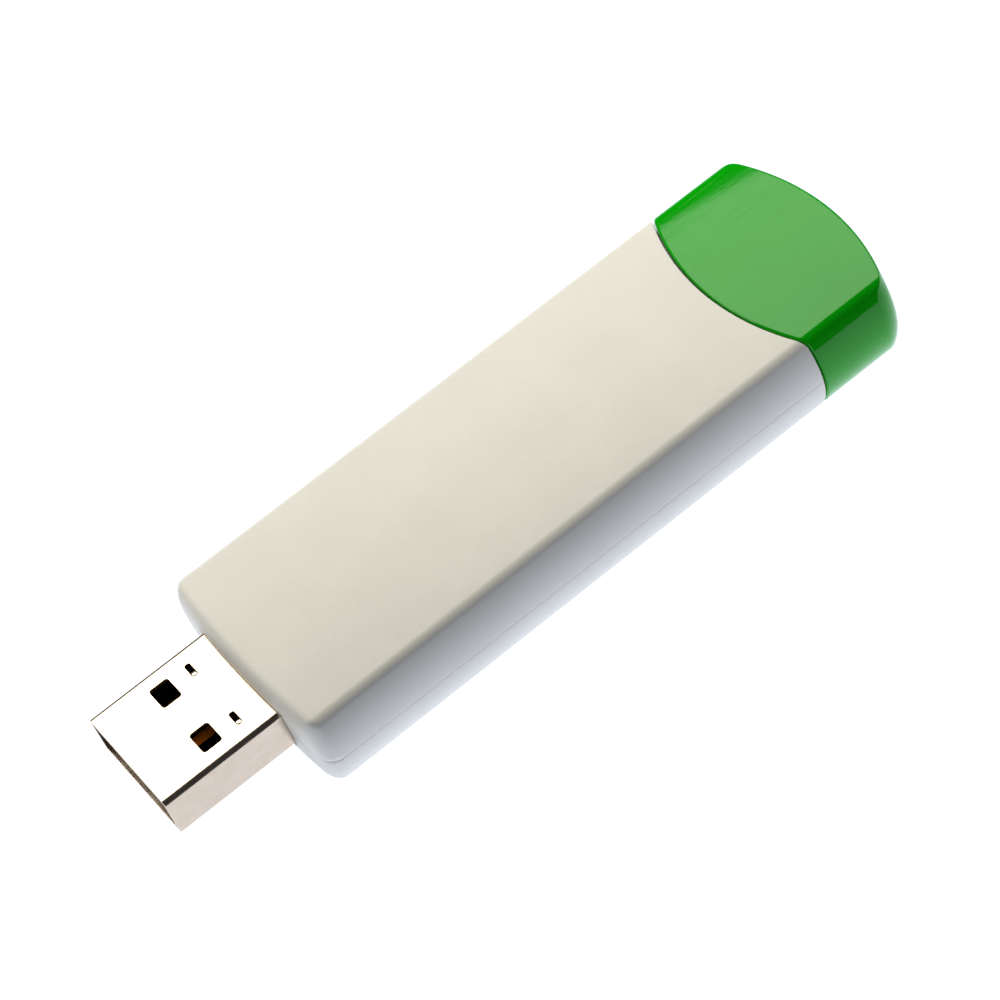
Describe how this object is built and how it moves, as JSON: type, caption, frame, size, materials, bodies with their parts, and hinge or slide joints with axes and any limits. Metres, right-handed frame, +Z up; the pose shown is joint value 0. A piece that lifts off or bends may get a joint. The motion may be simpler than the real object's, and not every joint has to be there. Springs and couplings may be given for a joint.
{
  "type": "usb microcontroller programmer",
  "caption": "Stick-shaped electronics tool: pale two-shell case, bare USB plug at one end, green pull-off cap over a pin header at the other.",
  "frame": {"origin": "under the middle of the whole closed length, plug included, on the flat bottom face that lies on the bench", "axes": "+X along the stick from the plug's open end to the cap, +Z up from the bottom face to the label side, +Y to the left seen from the plug looking along +X"},
  "size_m": [0.0759, 0.0232, 0.0084],
  "materials": {
    "white_abs": "fine spark-eroded matt, warm white ABS",
    "green_abs": "polished green ABS",
    "nickel_steel": "bright nickel plate on stamped steel",
    "black_lcp": "moulded black liquid-crystal polymer",
    "gold_plate": "thin gold plate over nickel",
    "green_laminate": "green solder mask over glass-epoxy laminate",
    "black_epoxy": "moulded epoxy, fine matt",
    "tinned_leads": "matt tin plate",
    "crystal_lid": "seam-welded nickel lid",
    "alumina": "dark alumina",
    "fuse_green": "green moulded polymer",
    "ferrite": "fired ferrite",
    "tantalum_case": "moulded yellow epoxy",
    "ceramic_chip": "fired tan ceramic",
    "resistor_chip": "glazed black film",
    "green_lens": "tinted clear epoxy",
    "amber_lens": "tinted clear epoxy"
  },
  "bodies": {
    "case": {"bottom_shell": "white_abs", "top_shell": "white_abs", "usb_plug_shell": "nickel_steel", "usb_plug_insulator": "black_lcp", "usb_contact_vbus": "gold_plate", "usb_contact_data_minus": "gold_plate", "usb_contact_data_plus": "gold_plate", "usb_contact_ground": "gold_plate", "circuit_board": "green_laminate", "main_microcontroller": "black_epoxy", "main_microcontroller_leads": "tinned_leads", "crystal": "crystal_lid", "crystal_base": "alumina", "voltage_regulator": "black_epoxy", "voltage_regulator_leads": "tinned_leads", "level_shifter": "black_epoxy", "level_shifter_leads": "tinned_leads", "memory_chip": "black_epoxy", "memory_chip_leads": "tinned_leads", "surge_protector": "black_epoxy", "surge_protector_leads": "tinned_leads", "resettable_fuse": "fuse_green", "ferrite_bead": "ferrite", "tantalum_capacitor": "tantalum_case", "ceramic_capacitors": "ceramic_chip", "resistors": "resistor_chip", "power_led": "green_lens", "activity_led": "amber_lens", "header_body": "black_lcp", "header_pin_1": "gold_plate", "header_pin_2": "gold_plate", "header_pin_3": "gold_plate", "header_pin_4": "gold_plate", "header_pin_5": "gold_plate", "header_pin_6": "gold_plate"},
    "cap": {"end_cap": "green_abs"}
  },
  "joints": [
    {"name": "cap_pull", "type": "slide", "parent": "case", "child": "cap", "axis": [1, 0, 0], "range_m": [0, 0.02]}
  ]
}
